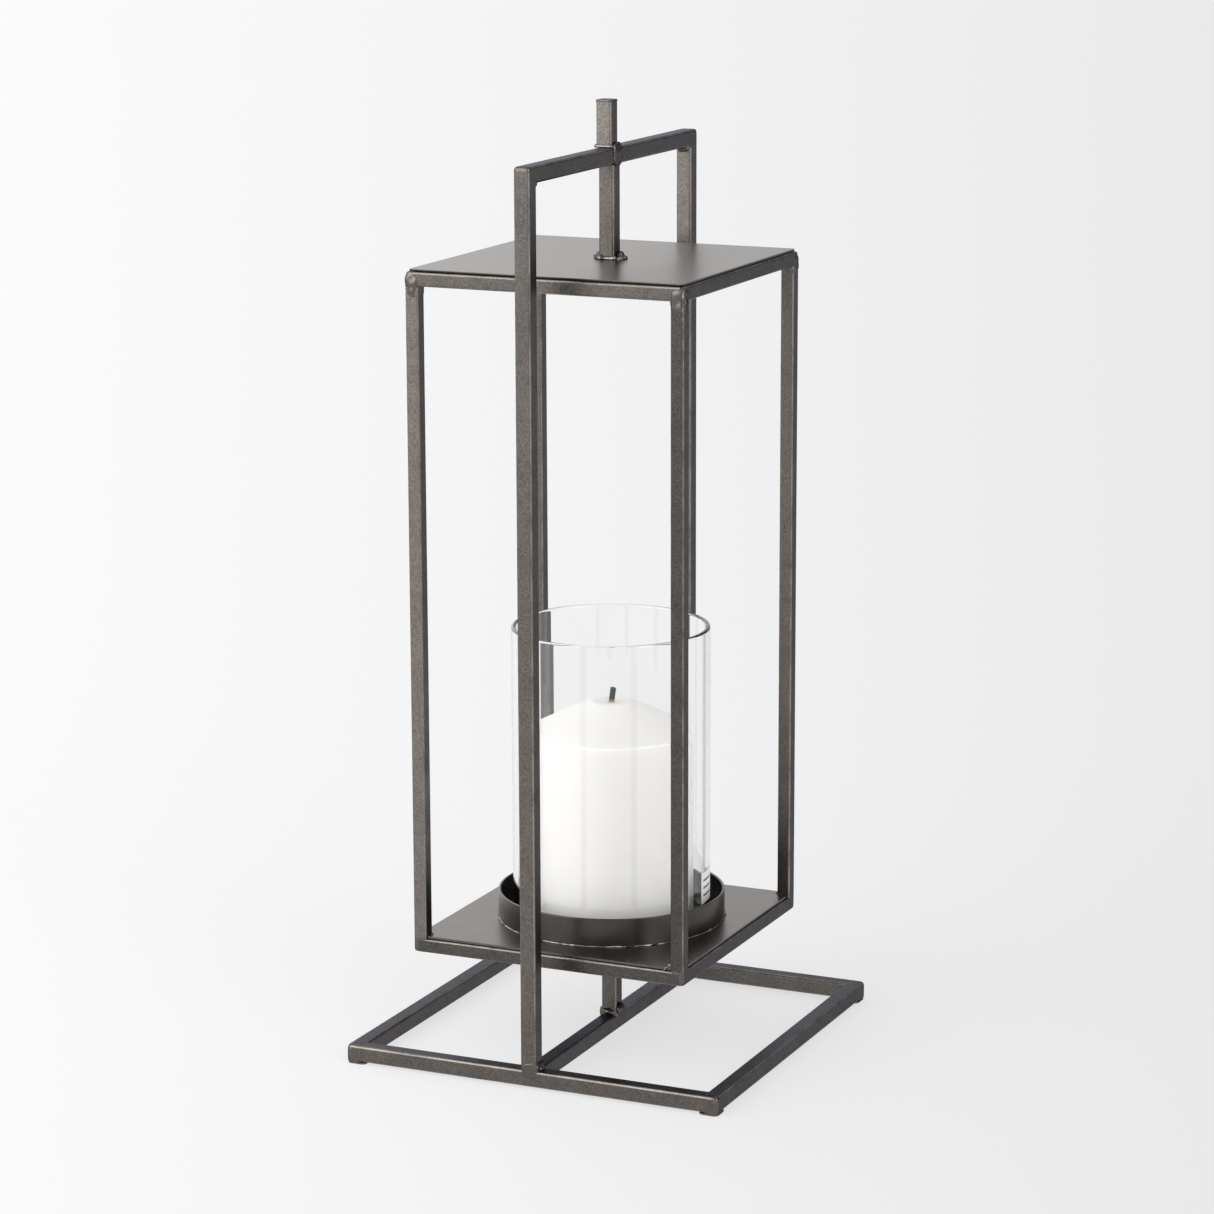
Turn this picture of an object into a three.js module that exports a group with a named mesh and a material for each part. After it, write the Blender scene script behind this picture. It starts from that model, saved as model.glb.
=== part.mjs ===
// Candle lantern: a cage of square tube with a sheet floor and a sheet roof, held between the
// uprights of a tall handle that stands on a square base. A glass sleeve and a pillar candle
// stand on the cage floor, inside a low ring.
//
// Millimetres, +Z up. The origin is on the surface that the lantern stands on, under the
// middle of the base. -Y is the front and +X is the right-hand side.

import * as THREE from "three";

// ---------------------------------------------------------------- driving dimensions

const FRAME_TUBE = { side: 8, corner: 1.2 }; // square tube of the base, handle and centre posts
const CAGE_TUBE = { side: 6.8, corner: 1.1 }; // the lighter square tube of the cage
const TUBE_WALL = 1;
const WELD_GAP = 0.1; // clearance left between two pieces that touch
const SHEET = 1; // thickness of the floor and roof sheets

const BASE_SIDE = 188; // outside width and depth of the base
const PAD_SIDE = 9.4; // pads under the corners of the base
const PAD_HEIGHT = 1;
const PAD_CORNER = 1.5;
const PAD_INSET = 0.3; // pad edge to tube edge, inwards

const CAGE_SIDE = 137.2; // outside width and depth of the cage
const CAGE_OFFSET_X = -2.2; // the cage is welded a little to the left of the handle's plane
const CAGE_BOTTOM = 50; // underside of the cage's bottom rails
const CAGE_TOP = 370; // top of the cage's top rails
const SHEET_INSET = 1.4; // sheet edge to rail edge

const HANDLE_TOP = 422.5; // top of the handle bar
const FINIAL_HEIGHT = 21.5; // stub on the handle bar, with its cap
const FINIAL_OFFSET_X = -1.2; // the stub is welded a little to the left of the bar's middle

const RING_DIAMETER = 107.4;
const RING_WALL = 1.2;
const RING_HEIGHT = 13.4;

const GLASS_DIAMETER = 93.4;
const GLASS_WALL = 2.2;
const GLASS_HEIGHT = 141;

const CANDLE_DIAMETER = 77.6;
const CANDLE_SHOULDER = 91.5; // height of the candle's straight side
const CANDLE_CONE = 13.3; // height of the blunt cone on top of it
const CANDLE_DISH_DIAMETER = 19; // shallow dish in the top of the cone
const CANDLE_DISH_DEPTH = 0.8;
const CANDLE_EDGE = 1; // rounding of the candle's edges

const WICK_DIAMETER = 2.7;
const WICK_CLEARANCE = 0.3; // between the wick and its hole
const WICK_FREE_LENGTH = 6.8; // stands out of the wax
const WICK_LEAN = 1.2; // sideways, at its tip

const LABEL_THICKNESS = 0.2;
const LABEL_BEARING = 7.5; // degrees from +X, towards +Y, to the label's middle
const LABEL_ARC = 18; // degrees around the glass
const LABEL_BOTTOM = 10.4; // above the foot of the glass
const LABEL_HEIGHT = 15;
const LABEL_SEGMENTS = 6;

const ROUND_SEGMENTS = 72; // facets around the ring, the glass and the candle
const CORNER_SEGMENTS = 2; // sets how finely each rounded corner is drawn
const WICK_SIDES = 10;
const WICK_STEPS = 12;

// ---------------------------------------------------------------- finishes

const BRONZE = { color: 0x5c5751, roughness: 0.42, metalness: 0.85 };
const BRONZE_SHEET = { color: 0x5f5a54, roughness: 0.36, metalness: 0.85 };
const PAD = { color: 0x4f4a45, roughness: 0.42, metalness: 0.85 };
const CLEAR_GLASS = { color: 0xf3f3fb, roughness: 0.03, metalness: 0, transparent: true, opacity: 0.35 };
const LABEL_PAPER = { color: 0xf5f5f2, roughness: 0.6, metalness: 0 };
const WAX = { color: 0xf7f4ee, roughness: 0.5, metalness: 0 };
const WICK_COTTON = { color: 0x1b1815, roughness: 0.95, metalness: 0 };

// ---------------------------------------------------------------- heights and places

const HALF_FRAME_TUBE = FRAME_TUBE.side / 2;
const HALF_CAGE_TUBE = CAGE_TUBE.side / 2;
const BASE_BOTTOM = PAD_HEIGHT + WELD_GAP;
const BASE_TOP = BASE_BOTTOM + FRAME_TUBE.side;
const BASE_LINE = BASE_SIDE / 2 - HALF_FRAME_TUBE; // base tubes' centre lines, from the middle
const CAGE_LINE = CAGE_SIDE / 2 - HALF_CAGE_TUBE; // cage tubes' centre lines, from its middle

const BOTTOM_RAIL_TOP = CAGE_BOTTOM + CAGE_TUBE.side;
const TOP_RAIL_BOTTOM = CAGE_TOP - CAGE_TUBE.side;
const FLOOR_BOTTOM = BOTTOM_RAIL_TOP + WELD_GAP;
const FLOOR_TOP = FLOOR_BOTTOM + SHEET;
const ROOF_BOTTOM = CAGE_TOP + WELD_GAP;
const ROOF_TOP = ROOF_BOTTOM + SHEET;
const STANDING = FLOOR_TOP + WELD_GAP; // foot of the ring, the glass and the candle

const CORNERS = [
  { name: "front_left", x: -1, y: -1 },
  { name: "front_right", x: 1, y: -1 },
  { name: "back_right", x: 1, y: 1 },
  { name: "back_left", x: -1, y: 1 },
];

const SIDES = [
  { name: "front", outward: new THREE.Vector3(0, -1, 0), along: new THREE.Vector3(1, 0, 0) },
  { name: "right", outward: new THREE.Vector3(1, 0, 0), along: new THREE.Vector3(0, 1, 0) },
  { name: "back", outward: new THREE.Vector3(0, 1, 0), along: new THREE.Vector3(-1, 0, 0) },
  { name: "left", outward: new THREE.Vector3(-1, 0, 0), along: new THREE.Vector3(0, -1, 0) },
];

const UP = new THREE.Vector3(0, 0, 1);

const lantern = new THREE.Group();

function addPiece(name, geometry, finish) {
  const mesh = new THREE.Mesh(geometry, new THREE.MeshStandardMaterial(finish));
  mesh.name = name;
  lantern.add(mesh);
  return mesh;
}

// ---------------------------------------------------------------- square tube

function roundedRectangle(path, width, depth, radius) {
  const x = width / 2 - radius;
  const y = depth / 2 - radius;
  path.moveTo(x, -y - radius);
  path.absarc(x, -y, radius, -Math.PI / 2, 0, false);
  path.absarc(x, y, radius, 0, Math.PI / 2, false);
  path.absarc(-x, y, radius, Math.PI / 2, Math.PI, false);
  path.absarc(-x, -y, radius, Math.PI, 1.5 * Math.PI, false);
  return path;
}

function squareHole(side) {
  const half = side / 2;
  const hole = new THREE.Path();
  hole.moveTo(-half, -half);
  hole.lineTo(-half, half);
  hole.lineTo(half, half);
  hole.lineTo(half, -half);
  hole.closePath();
  return hole;
}

function tubeSection({ side, corner }) {
  const section = roundedRectangle(new THREE.Shape(), side, side, corner);
  section.holes.push(squareHole(side - 2 * TUBE_WALL));
  return section;
}

// A tube between two points of its centre line. A mitred end is cut at 45 degrees, longer on
// the side that faces outward and shorter on the other.
function addTube(name, stock, { from, to, outward, mitreFrom = false, mitreTo = false }) {
  const span = to.clone().sub(from);
  const length = span.length();
  const geometry = new THREE.ExtrudeGeometry(tubeSection(stock), {
    depth: length,
    steps: 1,
    bevelEnabled: false,
    curveSegments: CORNER_SEGMENTS,
  });
  const vertices = geometry.attributes.position;
  for (let i = 0; i < vertices.count; i += 1) {
    const outwardOffset = vertices.getY(i);
    const isFarEnd = vertices.getZ(i) > length / 2;
    const nearZ = WELD_GAP / 2 - (mitreFrom ? outwardOffset : 0);
    const farZ = length - WELD_GAP / 2 + (mitreTo ? outwardOffset : 0);
    vertices.setZ(i, isFarEnd ? farZ : nearZ);
  }
  geometry.computeVertexNormals();

  const along = span.normalize();
  const sideways = new THREE.Vector3().crossVectors(outward, along);
  const tube = addPiece(name, geometry, BRONZE);
  tube.quaternion.setFromRotationMatrix(new THREE.Matrix4().makeBasis(sideways, outward, along));
  tube.position.copy(from);
  return tube;
}

// Four mitred tubes that make a level square frame around a centre.
function addSquareFrame(nameOf, stock, line, centre) {
  for (const side of SIDES) {
    const middle = centre.clone().addScaledVector(side.outward, line);
    addTube(nameOf(side.name), stock, {
      from: middle.clone().addScaledVector(side.along, -line),
      to: middle.clone().addScaledVector(side.along, line),
      outward: side.outward,
      mitreFrom: true,
      mitreTo: true,
    });
  }
}

// ---------------------------------------------------------------- base

function addBase() {
  const centre = new THREE.Vector3(0, 0, BASE_BOTTOM + HALF_FRAME_TUBE);
  addSquareFrame((side) => `base_${side}_tube`, FRAME_TUBE, BASE_LINE, centre);
  const barEnd = new THREE.Vector3(0, BASE_LINE - HALF_FRAME_TUBE, 0);
  addTube("base_centre_bar", FRAME_TUBE, {
    from: centre.clone().sub(barEnd),
    to: centre.clone().add(barEnd),
    outward: UP,
  });
  const padLine = BASE_SIDE / 2 - PAD_INSET - PAD_SIDE / 2;
  for (const corner of CORNERS) {
    const outline = roundedRectangle(new THREE.Shape(), PAD_SIDE, PAD_SIDE, PAD_CORNER);
    const geometry = new THREE.ExtrudeGeometry(outline, {
      depth: PAD_HEIGHT,
      bevelEnabled: false,
      curveSegments: CORNER_SEGMENTS,
    });
    const pad = addPiece(`foot_pad_${corner.name}`, geometry, PAD);
    pad.position.set(corner.x * padLine, corner.y * padLine, 0);
  }
}

// ---------------------------------------------------------------- handle and centre posts

function addHandle() {
  const barZ = HANDLE_TOP - HALF_FRAME_TUBE;
  for (const upright of [{ name: "front_upright", y: -1 }, { name: "rear_upright", y: 1 }]) {
    addTube(upright.name, FRAME_TUBE, {
      from: new THREE.Vector3(0, upright.y * BASE_LINE, BASE_TOP),
      to: new THREE.Vector3(0, upright.y * BASE_LINE, barZ),
      outward: new THREE.Vector3(0, upright.y, 0),
      mitreTo: true,
    });
  }
  addTube("handle_bar", FRAME_TUBE, {
    from: new THREE.Vector3(0, -BASE_LINE, barZ),
    to: new THREE.Vector3(0, BASE_LINE, barZ),
    outward: UP,
    mitreFrom: true,
    mitreTo: true,
  });
}

function addPost(name, stock, x, y, bottom, top) {
  addTube(name, stock, {
    from: new THREE.Vector3(x, y, bottom),
    to: new THREE.Vector3(x, y, top),
    outward: new THREE.Vector3(0, -1, 0),
  });
}

function addCentrePosts() {
  addPost("lower_centre_post", FRAME_TUBE, 0, 0, BASE_TOP, BOTTOM_RAIL_TOP + WELD_GAP / 2);
  addPost("upper_centre_post", FRAME_TUBE, 0, 0, ROOF_TOP, HANDLE_TOP - FRAME_TUBE.side);
}

function addFinial() {
  const capBottom = HANDLE_TOP + FINIAL_HEIGHT - SHEET;
  addPost("finial_stub", FRAME_TUBE, FINIAL_OFFSET_X, 0, HANDLE_TOP, capBottom);
  const { side, corner } = FRAME_TUBE;
  const outline = roundedRectangle(new THREE.Shape(), side, side, corner);
  const geometry = new THREE.ExtrudeGeometry(outline, {
    depth: SHEET,
    bevelEnabled: false,
    curveSegments: CORNER_SEGMENTS,
  });
  addPiece("finial_cap", geometry, BRONZE).position.set(FINIAL_OFFSET_X, 0, capBottom);
}

// ---------------------------------------------------------------- cage

function addCageFrame() {
  const bottom = new THREE.Vector3(CAGE_OFFSET_X, 0, CAGE_BOTTOM + HALF_CAGE_TUBE);
  const top = new THREE.Vector3(CAGE_OFFSET_X, 0, CAGE_TOP - HALF_CAGE_TUBE);
  addSquareFrame((side) => `bottom_${side}_rail`, CAGE_TUBE, CAGE_LINE, bottom);
  addSquareFrame((side) => `top_${side}_rail`, CAGE_TUBE, CAGE_LINE, top);
  for (const corner of CORNERS) {
    const x = CAGE_OFFSET_X + corner.x * CAGE_LINE;
    const y = corner.y * CAGE_LINE;
    addPost(`${corner.name}_post`, CAGE_TUBE, x, y, BOTTOM_RAIL_TOP, TOP_RAIL_BOTTOM);
  }
}

// The floor sheet, with a square clipped out of each corner to clear the posts.
function floorOutline() {
  const edge = CAGE_SIDE / 2 - SHEET_INSET;
  const clip = CAGE_LINE - HALF_CAGE_TUBE - WELD_GAP;
  const outline = new THREE.Shape();
  outline.moveTo(-clip, -edge);
  outline.lineTo(clip, -edge);
  outline.lineTo(clip, -clip);
  outline.lineTo(edge, -clip);
  outline.lineTo(edge, clip);
  outline.lineTo(clip, clip);
  outline.lineTo(clip, edge);
  outline.lineTo(-clip, edge);
  outline.lineTo(-clip, clip);
  outline.lineTo(-edge, clip);
  outline.lineTo(-edge, -clip);
  outline.lineTo(-clip, -clip);
  outline.closePath();
  return outline;
}

function addSheets() {
  const sheet = { depth: SHEET, bevelEnabled: false, curveSegments: CORNER_SEGMENTS };
  const floor = new THREE.ExtrudeGeometry(floorOutline(), sheet);
  addPiece("floor_plate", floor, BRONZE_SHEET).position.set(CAGE_OFFSET_X, 0, FLOOR_BOTTOM);

  const roofSide = CAGE_SIDE - 2 * SHEET_INSET;
  const roofOutline = roundedRectangle(new THREE.Shape(), roofSide, roofSide, CAGE_TUBE.corner);
  const roof = new THREE.ExtrudeGeometry(roofOutline, sheet);
  addPiece("top_plate", roof, BRONZE_SHEET).position.set(CAGE_OFFSET_X, 0, ROOF_BOTTOM);
}

// ---------------------------------------------------------------- round pieces

// Turns a closed outline of (radius, height) points about the Z axis.
function turned(outline) {
  const geometry = new THREE.LatheGeometry([...outline, outline[0]], ROUND_SEGMENTS);
  geometry.rotateX(Math.PI / 2);
  return geometry;
}

// Points of an arc, in degrees, about a centre in the (radius, height) plane.
function arc(centreR, centreZ, radius, fromDegrees, toDegrees, steps) {
  const points = [];
  for (let i = 0; i <= steps; i += 1) {
    const angle = THREE.MathUtils.degToRad(fromDegrees + ((toDegrees - fromDegrees) * i) / steps);
    points.push(new THREE.Vector2(centreR + radius * Math.cos(angle), centreZ + radius * Math.sin(angle)));
  }
  return points;
}

function addRing() {
  const outer = RING_DIAMETER / 2;
  const inner = outer - RING_WALL;
  const ring = turned([
    new THREE.Vector2(inner, 0),
    new THREE.Vector2(outer, 0),
    new THREE.Vector2(outer, RING_HEIGHT),
    new THREE.Vector2(inner, RING_HEIGHT),
  ]);
  addPiece("candle_ring", ring, BRONZE).position.z = STANDING;
}

// An open sleeve, with both rims rounded to the wall's half thickness.
function addGlass() {
  const rim = GLASS_WALL / 2;
  const middle = GLASS_DIAMETER / 2 - rim;
  const sleeve = turned([
    ...arc(middle, rim, rim, 180, 360, 4),
    ...arc(middle, GLASS_HEIGHT - rim, rim, 0, 180, 4),
  ]);
  addPiece("glass_cylinder", sleeve, CLEAR_GLASS).position.z = STANDING;
}

// A blank paper label that wraps part of the way around the glass.
function addLabel() {
  const inner = GLASS_DIAMETER / 2 + WELD_GAP;
  const outer = inner + LABEL_THICKNESS;
  const from = THREE.MathUtils.degToRad(LABEL_BEARING - LABEL_ARC / 2);
  const to = THREE.MathUtils.degToRad(LABEL_BEARING + LABEL_ARC / 2);
  const outline = new THREE.Shape();
  outline.absarc(0, 0, outer, from, to, false);
  outline.absarc(0, 0, inner, to, from, true);
  outline.closePath();
  const geometry = new THREE.ExtrudeGeometry(outline, {
    depth: LABEL_HEIGHT,
    bevelEnabled: false,
    curveSegments: LABEL_SEGMENTS,
  });
  addPiece("glass_label", geometry, LABEL_PAPER).position.z = STANDING + LABEL_BOTTOM;
}

// ---------------------------------------------------------------- candle

// The candle is cast around its wick, so it has a hole for it from top to bottom.
function addCandle() {
  const outer = CANDLE_DIAMETER / 2;
  const hole = WICK_DIAMETER / 2 + WICK_CLEARANCE;
  const coneTop = CANDLE_SHOULDER + CANDLE_CONE;
  const wax = turned([
    new THREE.Vector2(hole, 0),
    ...arc(outer - CANDLE_EDGE, CANDLE_EDGE, CANDLE_EDGE, -90, 0, 3),
    ...arc(outer - CANDLE_EDGE, CANDLE_SHOULDER - CANDLE_EDGE, CANDLE_EDGE, 0, 70, 3),
    new THREE.Vector2(CANDLE_DISH_DIAMETER / 2, coneTop),
    new THREE.Vector2(hole, coneTop - CANDLE_DISH_DEPTH),
  ]);
  addPiece("candle", wax, WAX).position.z = STANDING;
}

// The wick runs the candle's whole height and leans a little to the right where it is free.
function addWick() {
  const waxTop = STANDING + CANDLE_SHOULDER + CANDLE_CONE - CANDLE_DISH_DEPTH;
  const path = new THREE.CatmullRomCurve3([
    new THREE.Vector3(0, 0, STANDING),
    new THREE.Vector3(0, 0, (STANDING + waxTop) / 2),
    new THREE.Vector3(0, 0, waxTop),
    new THREE.Vector3(WICK_LEAN / 3, 0, waxTop + WICK_FREE_LENGTH / 2),
    new THREE.Vector3(WICK_LEAN, 0, waxTop + WICK_FREE_LENGTH),
  ]);
  const section = new THREE.Shape();
  section.absarc(0, 0, WICK_DIAMETER / 2, 0, 2 * Math.PI, false);
  const geometry = new THREE.ExtrudeGeometry(section, {
    extrudePath: path,
    steps: WICK_STEPS,
    curveSegments: WICK_SIDES / 2,
  });
  addPiece("wick", geometry, WICK_COTTON);
}

addBase();
addHandle();
addCentrePosts();
addFinial();
addCageFrame();
addSheets();
addRing();
addGlass();
addLabel();
addCandle();
addWick();

export default lantern;
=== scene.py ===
"""Candle lantern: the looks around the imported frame. Metres, in the frame's own axes."""

import math
import random

import bmesh
import bpy
from mathutils import Matrix, Vector, noise


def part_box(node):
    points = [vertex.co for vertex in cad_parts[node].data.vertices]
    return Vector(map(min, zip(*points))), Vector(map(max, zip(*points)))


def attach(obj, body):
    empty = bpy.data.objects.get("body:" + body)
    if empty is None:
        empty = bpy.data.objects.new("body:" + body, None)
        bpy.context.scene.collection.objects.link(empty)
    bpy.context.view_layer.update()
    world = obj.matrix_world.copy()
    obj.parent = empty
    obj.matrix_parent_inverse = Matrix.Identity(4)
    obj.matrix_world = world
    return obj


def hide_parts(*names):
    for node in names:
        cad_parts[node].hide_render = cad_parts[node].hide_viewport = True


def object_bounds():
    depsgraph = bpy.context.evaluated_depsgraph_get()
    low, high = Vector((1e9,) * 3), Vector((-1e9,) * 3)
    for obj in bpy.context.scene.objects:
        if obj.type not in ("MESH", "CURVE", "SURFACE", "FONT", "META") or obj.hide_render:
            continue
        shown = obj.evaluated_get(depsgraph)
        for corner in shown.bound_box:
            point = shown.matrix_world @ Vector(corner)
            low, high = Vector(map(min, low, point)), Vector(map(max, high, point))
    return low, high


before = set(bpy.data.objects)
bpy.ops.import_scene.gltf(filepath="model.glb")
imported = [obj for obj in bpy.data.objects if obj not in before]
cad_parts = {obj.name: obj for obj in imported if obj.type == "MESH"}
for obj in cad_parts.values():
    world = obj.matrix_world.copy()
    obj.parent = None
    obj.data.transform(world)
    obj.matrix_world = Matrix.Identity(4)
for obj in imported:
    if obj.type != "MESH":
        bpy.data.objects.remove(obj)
cad_low, cad_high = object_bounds()

MM = 0.001
UP = Vector((0, 0, 1))


def mm(x, y, z):
    """A vector given in millimetres."""
    return Vector((x, y, z)) * MM


# ------------------------------------------------------------------ camera

CAMERA_AZIMUTH = 24.27
CAMERA_ELEVATION = 12.39
CAMERA_ROLL = -0.19
CAMERA_DISTANCE = 1.8678
CAMERA_SENSOR = 36  # mm, like the focal length
CAMERA_LENS = 118.4
CAMERA_AIM = Vector((-0.0016, -0.0007, 0.2074))
CAMERA_NEAR = 0.05
CAMERA_FAR = 100


def direction(azimuth, elevation):
    a, e = math.radians(azimuth), math.radians(elevation)
    return Vector((math.sin(a) * math.cos(e), -math.cos(a) * math.cos(e), math.sin(e)))


def add_camera():
    """Looks at the lantern from the front right, from a little above its middle."""
    data = bpy.data.cameras.new("camera")
    data.sensor_width = CAMERA_SENSOR
    data.lens = CAMERA_LENS
    data.clip_start = CAMERA_NEAR
    data.clip_end = CAMERA_FAR
    camera = bpy.data.objects.new("camera", data)
    bpy.context.scene.collection.objects.link(camera)
    back = direction(CAMERA_AZIMUTH, CAMERA_ELEVATION)
    turn = (-back).to_track_quat("-Z", "Y").to_matrix()
    roll = Matrix.Rotation(math.radians(CAMERA_ROLL), 3, "Z")
    camera.matrix_world = (turn @ roll).to_4x4()
    camera.location = CAMERA_AIM + back * CAMERA_DISTANCE
    bpy.context.scene.camera = camera


# ------------------------------------------------------------------ shader nodes

# A colour Mix node's sockets, by number, because its other sockets have the same names.
COLOUR_MIX_FACTOR, COLOUR_MIX_FIRST, COLOUR_MIX_SECOND, COLOUR_MIX_RESULT = 0, 6, 7, 2

# Nearly all of a noise pattern's values lie between these.
NOISE_LOW, NOISE_HIGH = 0.3, 0.7


class Nodes:
    """A node tree, with a short way to add and join nodes."""

    def __init__(self, tree):
        self.tree = tree

    def node(self, kind, inputs=None, **settings):
        made = self.tree.nodes.new("ShaderNode" + kind)
        for key, value in settings.items():
            setattr(made, key, value)
        for key, value in (inputs or {}).items():
            self.feed(made.inputs[key], value)
        return made

    def feed(self, socket, value):
        if isinstance(value, bpy.types.NodeSocket):
            self.tree.links.new(value, socket)
        else:
            socket.default_value = value

    def math(self, operation, *values):
        made = self.node("Math", dict(enumerate(values)), operation=operation)
        return made.outputs[0]

    def dot(self, first, second):
        made = self.node("VectorMath", {0: first, 1: second}, operation="DOT_PRODUCT")
        return made.outputs["Value"]

    def remap(self, value, low, high, to_low, to_high):
        inputs = {
            "Value": value,
            "From Min": low,
            "From Max": high,
            "To Min": to_low,
            "To Max": to_high,
        }
        return self.node("MapRange", inputs).outputs["Result"]

    def scale(self, colour, factor):
        made = self.node("VectorMath", {0: colour, "Scale": factor}, operation="SCALE")
        return made.outputs["Vector"]

    def mix(self, factor, first, second):
        inputs = {COLOUR_MIX_FACTOR: factor, COLOUR_MIX_FIRST: first, COLOUR_MIX_SECOND: second}
        return self.node("Mix", inputs, data_type="RGBA").outputs[COLOUR_MIX_RESULT]


class Shader(Nodes):
    """A material with a Principled surface."""

    def __init__(self, name):
        self.material = bpy.data.materials.new(name)
        self.material.use_nodes = True
        super().__init__(self.material.node_tree)
        self.surface = self.tree.nodes["Principled BSDF"]
        self.output = self.tree.nodes["Material Output"]
        self.place = self.node("TexCoord").outputs["Object"]

    def noise(self, scale, detail=4.0, roughness=0.5):
        """A noise pattern; scale is in features per metre."""
        inputs = {"Vector": self.place, "Scale": scale, "Detail": detail, "Roughness": roughness}
        return self.node("TexNoise", inputs).outputs["Fac"]

    def spread(self, pattern, to_low, to_high):
        """A noise pattern stretched to run from one value to another."""
        return self.remap(pattern, NOISE_LOW, NOISE_HIGH, to_low, to_high)

    def attribute(self, name):
        return self.node("Attribute", attribute_name=name).outputs["Fac"]

    def bump(self, height, strength, distance, normal=None):
        """A normal tilted by a height pattern, on top of the surface's own or a given one."""
        inputs = {"Height": height, "Strength": strength, "Distance": distance}
        if normal is not None:
            inputs["Normal"] = normal
        return self.node("Bump", inputs).outputs["Normal"]

    def set(self, **values):
        """Sets the Principled surface's inputs, with underscores for the spaces in their names."""
        for key, value in values.items():
            self.feed(self.surface.inputs[key.replace("_", " ")], value)


# ------------------------------------------------------------------ materials

PAINT_DARK = (0.119, 0.108, 0.100, 1)
PAINT_LIGHT = (0.133, 0.121, 0.112, 1)
RUBBED = (0.42, 0.38, 0.335, 1)
FILM_GLANCE = (0.40, 0.435, 0.51, 1)  # how a sandy film dims and cools light at a glancing angle
CLEAR_GLANCE = (1, 1, 1, 1)
FLAKES = 1700  # this pattern and the others below are in features per metre
SAND = 1100
CLOUDS = 90
CLOUD_BAND = (0.35, 0.65)  # clouds over which the film goes from dark to light
WORN_BAND = (0.3, 0.6)  # and over which its rubbed places go from least worn to bare
LEAST_WORN = 0.2
SAND_DEPTH = 0.12 * MM
FLAKE_SHINE, FLAKE_BLUR = 0.04, 0.06  # how much less, and more, rough it is from flake to flake
RUB_POLISH = 0.2  # how much less rough the paint is where it is rubbed

OPEN_AIR = (0.96, 0.96, 0.97, 1)  # light that reaches the candle through the glass

WAX_DARK = (0.722, 0.713, 0.684, 1)
WAX_LIGHT = (0.762, 0.754, 0.728, 1)
WAX_CLOUDS = 45
WAX_GRAIN = 700
DISH_DEPTH = 0.8 * MM  # of the shallow dish in the candle's top

COTTON_TAN = (0.42, 0.31, 0.19, 1)
COTTON_BLACK = (0.016, 0.014, 0.013, 1)
BRAID = 420.0
TAN_TO = 0.4 * MM  # height above the wax up to which the cotton is bare
CHARRED_FROM = 1.7 * MM  # and from which it is all black

PAPER_DARK = (0.80, 0.80, 0.79, 1)
PAPER_LIGHT = (0.88, 0.88, 0.87, 1)
PAPER_GRAIN = 1500
RULE_INK = (0.10, 0.10, 0.11, 1)
RULE_SPACING = 3.6 * MM
RULE_SHARE = 0.36  # half a rule's length, as a share of the label's width
RULES_HALF_HEIGHT = 1.4 * RULE_SPACING
RULE_EDGE = (0.5, 0.7)  # a rule is printed where the wave that draws it is higher than this


def bronze_paint(name, flake_depth, roughness, grain, glance=CLEAR_GLANCE):
    """Satin bronze paint: metal flake seen as speckle over a slightly sandy film.

    The mesh attributes say how bright a piece's paint is (tone), painted light and shade on some faces
    included, and how rubbed it is (rub).
    """
    s = Shader(name)
    flakes = s.noise(FLAKES, detail=3, roughness=0.75)
    clouds = s.noise(CLOUDS, detail=3, roughness=0.6)
    sand = s.noise(SAND, detail=2, roughness=0.6)
    film = s.mix(s.remap(clouds, *CLOUD_BAND, 0, 1), PAINT_DARK, PAINT_LIGHT)
    flake = s.spread(flakes, 1 - flake_depth, 1 + flake_depth)
    colour = s.scale(film, s.math("MULTIPLY", flake, s.attribute("tone")))
    rub = s.attribute("rub")
    worn = s.math("MULTIPLY", rub, s.remap(clouds, *WORN_BAND, LEAST_WORN, 1))
    blur = s.spread(flakes, roughness - FLAKE_SHINE, roughness + FLAKE_BLUR)
    s.set(
        Base_Color=s.mix(worn, colour, RUBBED),
        Metallic=1.0,
        Specular_Tint=glance,
        Roughness=s.math("SUBTRACT", blur, s.math("MULTIPLY", rub, RUB_POLISH)),
        Normal=s.bump(sand, strength=grain, distance=SAND_DEPTH),
    )
    return s.material


def clear_glass():
    """Clear glass that lets light straight through to what stands inside it."""
    s = Shader("clear_glass")
    s.set(Base_Color=(0.985, 0.985, 0.99, 1), Roughness=0.0, IOR=1.45, Transmission_Weight=1.0)
    shadow_ray = s.node("LightPath").outputs["Is Shadow Ray"]
    open_air = s.node("BsdfTransparent", {"Color": OPEN_AIR}).outputs["BSDF"]
    mixed = s.node("MixShader", {0: shadow_ray, 1: s.surface.outputs["BSDF"], 2: open_air})
    s.feed(s.output.inputs["Surface"], mixed.outputs["Shader"])
    return s.material


def candle_wax():
    """White wax that light soaks into, faintly cloudy and grained."""
    s = Shader("candle_wax")
    clouds = s.noise(WAX_CLOUDS)
    grain = s.noise(WAX_GRAIN, detail=3)
    swells = s.bump(clouds, strength=0.3, distance=0.4 * MM)
    s.set(
        Base_Color=s.mix(clouds, WAX_DARK, WAX_LIGHT),
        Roughness=s.spread(grain, 0.52, 0.64),
        Normal=s.bump(grain, strength=0.12, distance=0.1 * MM, normal=swells),
        Subsurface_Weight=0.8,
        Subsurface_Radius=(1.0, 0.92, 0.8),
        Subsurface_Scale=15 * MM,
    )
    return s.material


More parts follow.
